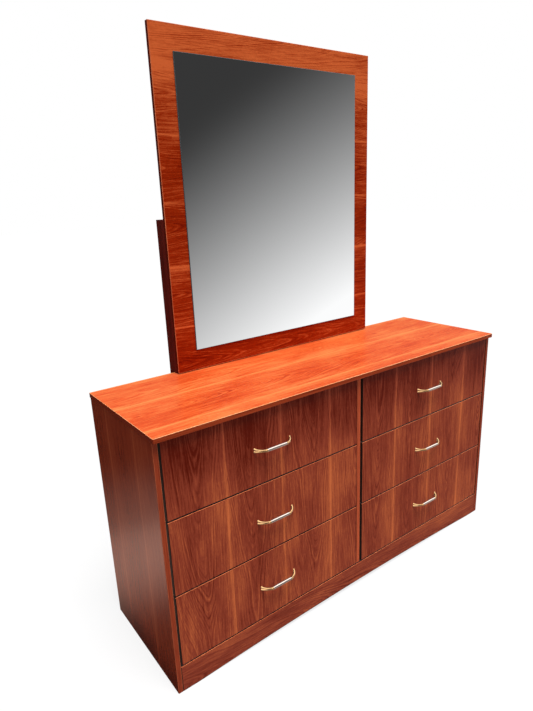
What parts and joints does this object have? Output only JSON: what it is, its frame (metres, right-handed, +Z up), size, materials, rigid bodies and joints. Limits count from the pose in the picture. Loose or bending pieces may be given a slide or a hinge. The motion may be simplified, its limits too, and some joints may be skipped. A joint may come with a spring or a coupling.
{
  "type": "dressing table with mirror",
  "caption": "Low wide chest of drawers in glossy cherry board with bow handles, and a tall frameless mirror on a board standing behind the top.",
  "frame": {"origin": "on the floor, under the middle of the whole piece's box (handles to mirror posts)", "axes": "+Z up, +X to the right seen from the front, +Y towards the back; the drawers open along -Y"},
  "size_m": [1.606, 0.5354, 2.0215],
  "materials": {
    "cherry_top": "gloss",
    "cherry_front": "gloss",
    "cherry_edge": "gloss",
    "cherry_side": "gloss",
    "cherry_mirror_board": "gloss",
    "dark_post": "satin",
    "pale_board": "satin",
    "hardboard": "matte",
    "beech_runner": "matte",
    "chrome_and_gold": "polished",
    "mirror": "polished"
  },
  "bodies": {
    "carcass": {"top_panel": "cherry_top", "left_side_panel": "cherry_side", "right_side_panel": "cherry_side", "centre_divider": "cherry_edge", "bottom_panel": "pale_board", "plinth": "cherry_front", "back_panel": "hardboard", "back_rail": "pale_board", "mirror_board": "cherry_mirror_board", "mirror_glass": "mirror", "left_mirror_post": "dark_post", "right_mirror_post": "dark_post", "left_top_left_runner": "beech_runner", "left_top_right_runner": "beech_runner", "left_middle_left_runner": "beech_runner", "left_middle_right_runner": "beech_runner", "left_bottom_left_runner": "beech_runner", "left_bottom_right_runner": "beech_runner", "right_top_left_runner": "beech_runner", "right_top_right_runner": "beech_runner", "right_middle_left_runner": "beech_runner", "right_middle_right_runner": "beech_runner", "right_bottom_left_runner": "beech_runner", "right_bottom_right_runner": "beech_runner"},
    "left_top_drawer": {"left_top_drawer_front": "cherry_front", "left_top_drawer_left_side": "pale_board", "left_top_drawer_right_side": "pale_board", "left_top_drawer_back": "pale_board", "left_top_drawer_bottom": "hardboard", "left_top_drawer_handle": "chrome_and_gold"},
    "left_middle_drawer": {"left_middle_drawer_front": "cherry_front", "left_middle_drawer_left_side": "pale_board", "left_middle_drawer_right_side": "pale_board", "left_middle_drawer_back": "pale_board", "left_middle_drawer_bottom": "hardboard", "left_middle_drawer_handle": "chrome_and_gold"},
    "left_bottom_drawer": {"left_bottom_drawer_front": "cherry_front", "left_bottom_drawer_left_side": "pale_board", "left_bottom_drawer_right_side": "pale_board", "left_bottom_drawer_back": "pale_board", "left_bottom_drawer_bottom": "hardboard", "left_bottom_drawer_handle": "chrome_and_gold"},
    "right_top_drawer": {"right_top_drawer_front": "cherry_front", "right_top_drawer_left_side": "pale_board", "right_top_drawer_right_side": "pale_board", "right_top_drawer_back": "pale_board", "right_top_drawer_bottom": "hardboard", "right_top_drawer_handle": "chrome_and_gold"},
    "right_middle_drawer": {"right_middle_drawer_front": "cherry_front", "right_middle_drawer_left_side": "pale_board", "right_middle_drawer_right_side": "pale_board", "right_middle_drawer_back": "pale_board", "right_middle_drawer_bottom": "hardboard", "right_middle_drawer_handle": "chrome_and_gold"},
    "right_bottom_drawer": {"right_bottom_drawer_front": "cherry_front", "right_bottom_drawer_left_side": "pale_board", "right_bottom_drawer_right_side": "pale_board", "right_bottom_drawer_back": "pale_board", "right_bottom_drawer_bottom": "hardboard", "right_bottom_drawer_handle": "chrome_and_gold"}
  },
  "joints": [
    {"name": "left_top_drawer_slide", "type": "slide", "parent": "carcass", "child": "left_top_drawer", "axis": [0, -1, 0], "range_m": [0, 0.32]},
    {"name": "left_middle_drawer_slide", "type": "slide", "parent": "carcass", "child": "left_middle_drawer", "axis": [0, -1, 0], "range_m": [0, 0.32]},
    {"name": "left_bottom_drawer_slide", "type": "slide", "parent": "carcass", "child": "left_bottom_drawer", "axis": [0, -1, 0], "range_m": [0, 0.32]},
    {"name": "right_top_drawer_slide", "type": "slide", "parent": "carcass", "child": "right_top_drawer", "axis": [0, -1, 0], "range_m": [0, 0.32]},
    {"name": "right_middle_drawer_slide", "type": "slide", "parent": "carcass", "child": "right_middle_drawer", "axis": [0, -1, 0], "range_m": [0, 0.32]},
    {"name": "right_bottom_drawer_slide", "type": "slide", "parent": "carcass", "child": "right_bottom_drawer", "axis": [0, -1, 0], "range_m": [0, 0.32]}
  ]
}
